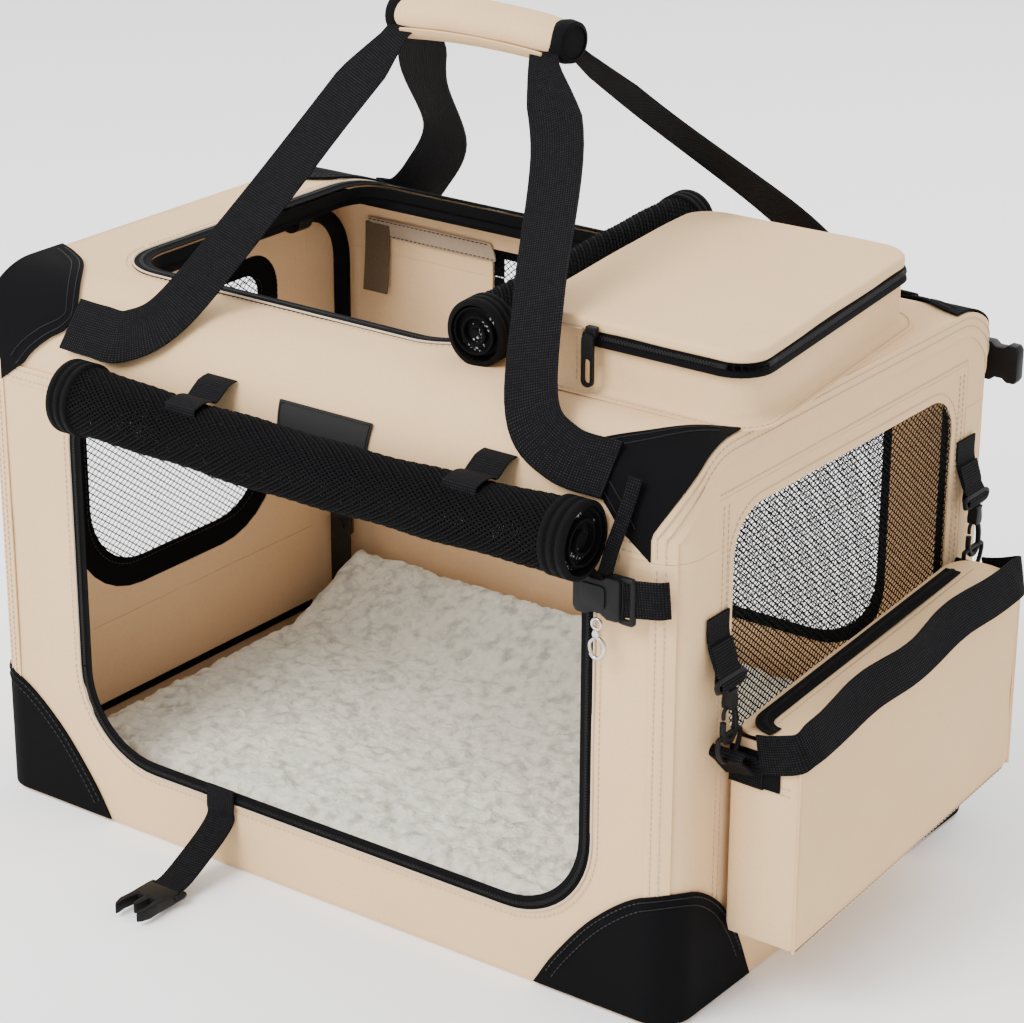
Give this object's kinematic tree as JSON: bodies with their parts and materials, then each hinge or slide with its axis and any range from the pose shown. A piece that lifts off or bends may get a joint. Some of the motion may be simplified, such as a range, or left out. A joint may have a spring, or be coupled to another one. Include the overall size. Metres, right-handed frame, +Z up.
{
  "type": "pet carrier bag",
  "caption": "Soft-sided folding pet carrier with steel tube frame, roll-up mesh doors, roof pocket, side pouch and grip.",
  "frame": {"origin": "centre of the base's flat underside", "axes": "+Z up, +X towards the end with the pouch, -Y towards the front doorway"},
  "size_m": [0.6623, 0.608, 0.6],
  "materials": {
    "fabric": "woven polyester cloth, padded, double stitched",
    "patch": "black woven reinforcement cloth",
    "webbing": "black ribbed polypropylene webbing",
    "net": "black hexagonal knitted net",
    "fleece": "off-white curly fleece",
    "plastic": "black moulded plastic, satin",
    "steel": "black powder coated steel tube",
    "bright_metal": "nickel plated"
  },
  "bodies": {
    "root": {"base_tube_loop": "steel", "floor_panel": "fabric", "left_sill_panel": "fabric", "right_sill_panel": "fabric", "front_panel": "fabric", "back_panel": "fabric", "fleece_pad": "fleece", "hinge_bracket_left_front": "steel", "hinge_bracket_left_back": "steel", "hinge_bracket_right_front": "steel", "hinge_bracket_right_back": "steel", "foot_patch_front_left": "patch", "foot_patch_front_right": "patch", "foot_patch_back_left": "patch", "foot_patch_back_right": "patch"},
    "left_end": {"left_hoop": "steel", "left_end_panel": "fabric"},
    "side_door": {"left_mesh_door": "net"},
    "right_end": {"right_hoop": "steel", "right_end_panel": "fabric", "right_window_net": "net", "pouch_hanger_front": "webbing", "pouch_hanger_back": "webbing", "snap_hook_front": "plastic", "snap_hook_back": "plastic"},
    "runners": {"rail_runner_front": "plastic", "rail_runner_back": "plastic"},
    "top": {"top_panel": "fabric", "top_rail_front": "steel", "top_rail_back": "steel", "crown_patch_front_left": "patch", "crown_patch_front_right": "patch", "crown_patch_back_left": "patch", "crown_patch_back_right": "patch", "front_door_roll": "net", "top_door_roll": "net", "pocket_body": "fabric", "carry_strap_front_left": "webbing", "carry_strap_front_right": "webbing", "carry_strap_back_left": "webbing", "carry_strap_back_right": "webbing", "front_socket_webbing": "webbing", "front_buckle_socket": "plastic", "back_buckle_socket": "plastic"},
    "pocket_lid": {"pocket_lid": "fabric"},
    "pocket_slider": {"pocket_slider": "plastic"},
    "pocket_pull": {"pocket_pull": "plastic"},
    "grip": {"grip_sleeve": "fabric"},
    "grip_flap": {"grip_flap": "fabric"},
    "front_plug": {"front_plug_webbing": "webbing", "front_buckle_plug": "plastic"},
    "back_plug": {"back_plug_webbing": "webbing", "back_buckle_plug": "plastic"},
    "door_slider": {"door_slider": "bright_metal"},
    "clasp": {"clasp": "bright_metal"},
    "pouch": {"pouch_body": "fabric", "pouch_strap": "webbing", "pouch_ring_front": "plastic", "pouch_ring_back": "plastic"},
    "pouch_flap": {"pouch_flap": "fabric"}
  },
  "joints": [
    {"name": "left_hoop_fold", "type": "hinge", "parent": "root", "child": "left_end", "pos_m": [-0.28, 0, 0.092], "axis": [0, -1, 0], "range_deg": [-90, 0], "deforming": ["front_panel", "back_panel", "foot_patch_front_left", "foot_patch_front_right", "foot_patch_back_left", "foot_patch_back_right"]},
    {"name": "right_hoop_fold", "type": "hinge", "parent": "root", "child": "right_end", "pos_m": [0.28, 0, 0.05], "axis": [0, 1, 0], "range_deg": [-90, 0]},
    {"name": "runner_level", "type": "hinge", "parent": "left_end", "child": "runners", "pos_m": [-0.28, 0, 0.368], "axis": [0, 1, 0], "range_deg": [-90, 0]},
    {"name": "top_lower", "type": "slide", "parent": "runners", "child": "top", "axis": [0.9958, 0, -0.0912], "range_m": [-0.28519, 0]},
    {"name": "side_door_swing", "type": "hinge", "parent": "left_end", "child": "side_door", "pos_m": [-0.2985, 0, 0.345], "axis": [0, 1, 0], "range_deg": [0, 95]},
    {"name": "pocket_lid_open", "type": "hinge", "parent": "top", "child": "pocket_lid", "pos_m": [0.18, 0, 0.4495], "axis": [0, -1, 0], "range_deg": [0, 110]},
    {"name": "pocket_zip", "type": "slide", "parent": "top", "child": "pocket_slider", "axis": [1, 0, 0], "range_m": [0, 0.075]},
    {"name": "pocket_pull_swing", "type": "hinge", "parent": "pocket_slider", "child": "pocket_pull", "pos_m": [0.188, -0.1426, 0.44], "axis": [-1, 0, 0], "range_deg": [0, 110]},
    {"name": "handle_drop", "type": "slide", "parent": "top", "child": "grip", "axis": [0, 0, 1], "range_m": [-0.11, 0], "deforming": ["carry_strap_front_left", "carry_strap_front_right", "carry_strap_back_left", "carry_strap_back_right"]},
    {"name": "grip_flap_open", "type": "hinge", "parent": "grip", "child": "grip_flap", "pos_m": [0, -0.0165, 0.579], "axis": [-1, 0, 0], "range_deg": [0, 120]},
    {"name": "front_plug_swing", "type": "hinge", "parent": "root", "child": "front_plug", "pos_m": [-0.082, -0.2032, 0.046], "axis": [-1, 0, 0], "range_deg": [0, 100]},
    {"name": "back_plug_swing", "type": "hinge", "parent": "root", "child": "back_plug", "pos_m": [0.085, 0.2032, 0.046], "axis": [1, 0, 0], "range_deg": [0, 100]},
    {"name": "door_zip", "type": "slide", "parent": "top", "child": "door_slider", "axis": [0, 0, -1], "range_m": [0, 0.2]},
    {"name": "clasp_swing", "type": "hinge", "parent": "top", "child": "clasp", "pos_m": [0.246, -0.212, 0.285], "axis": [0, 1, 0], "range_deg": [-35, 35]},
    {"name": "pouch_swing", "type": "hinge", "parent": "right_end", "child": "pouch", "pos_m": [0.312, 0, 0.205], "axis": [0, -1, 0], "range_deg": [0, 60]},
    {"name": "pouch_flap_open", "type": "hinge", "parent": "pouch", "child": "pouch_flap", "pos_m": [0.358, 0, 0.1995], "axis": [0, 1, 0], "range_deg": [0, 110]}
  ],
  "couplings": [
    {"joint": "right_hoop_fold", "follows": "left_hoop_fold", "ratio": 1},
    {"joint": "runner_level", "follows": "left_hoop_fold", "ratio": 1},
    {"joint": "top_lower", "follows": "left_hoop_fold", "m_per_rad": 0.18156}
  ]
}
